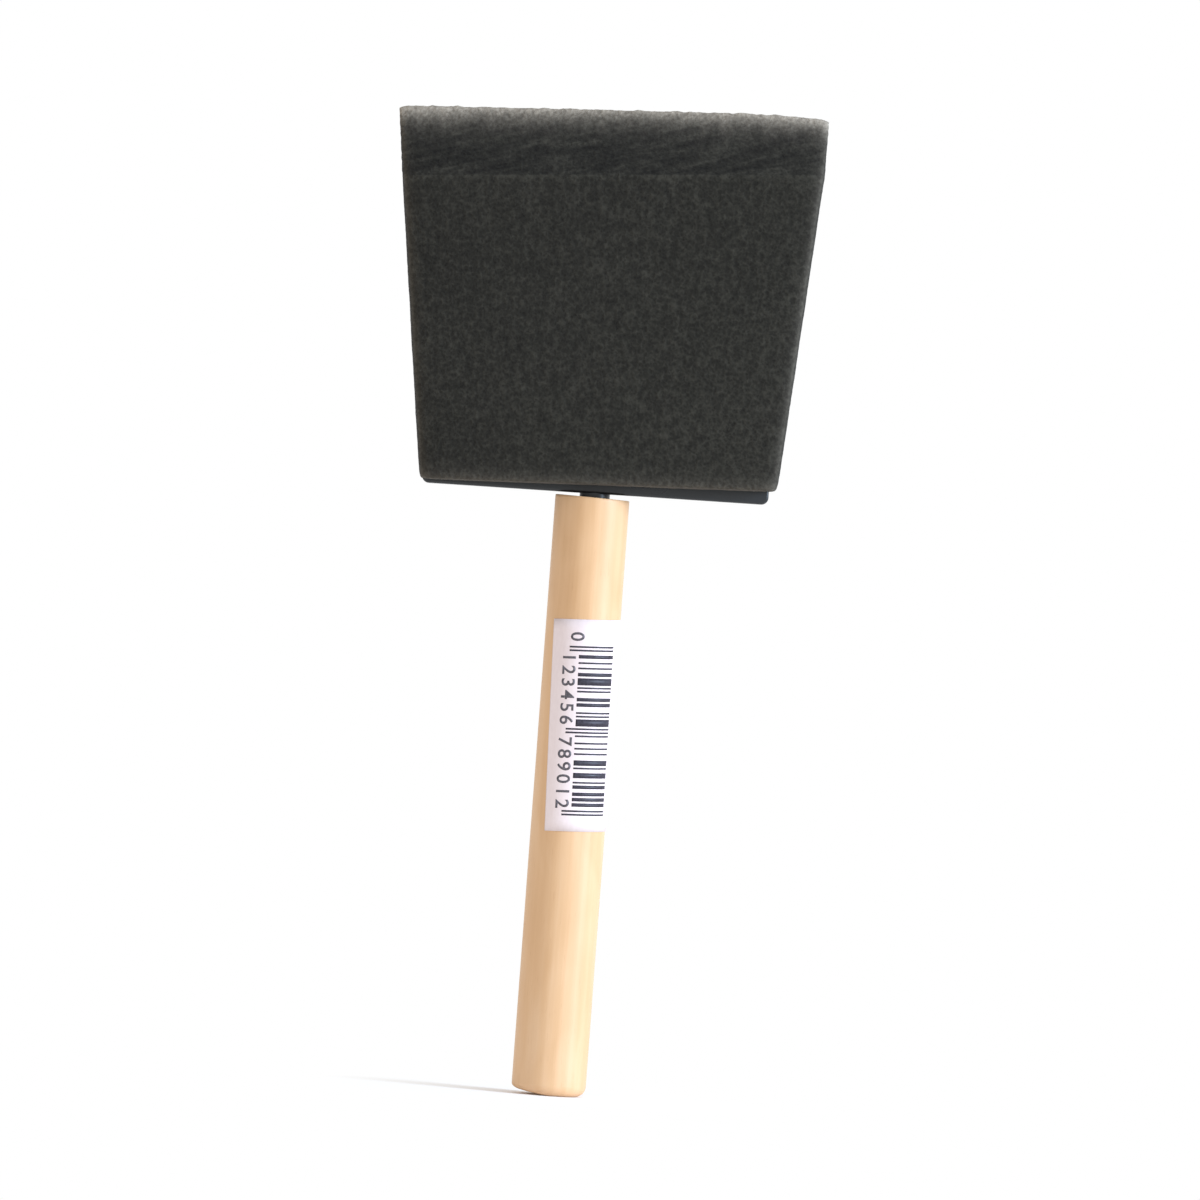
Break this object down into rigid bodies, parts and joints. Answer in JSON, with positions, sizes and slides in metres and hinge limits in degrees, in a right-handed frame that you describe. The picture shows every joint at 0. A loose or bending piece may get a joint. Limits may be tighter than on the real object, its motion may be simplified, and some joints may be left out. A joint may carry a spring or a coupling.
{
  "type": "foam paint brush",
  "caption": "Foam paint brush: chisel-tipped black foam head on a hidden plastic paddle, with a round wooden dowel handle and a paper barcode sticker.",
  "frame": {"origin": "centre of the flat at the handle's butt end", "axes": "+Z along the handle's axis towards the foam tip; -Y out of the face that carries the front of the sticker, +Y out of the foam's back face; +X to the right as seen from the front"},
  "size_m": [0.0807, 0.02, 0.1874],
  "materials": {
    "birch": "matte",
    "black_plastic": "satin",
    "hot_glue": "satin",
    "black_foam": "matte",
    "label_paper": "satin"
  },
  "bodies": {
    "root": {"handle": "birch", "blade_insert": "black_plastic", "glue_front": "hot_glue", "glue_back": "hot_glue", "foam_head": "black_foam", "barcode_label": "label_paper"}
  },
  "joints": []
}
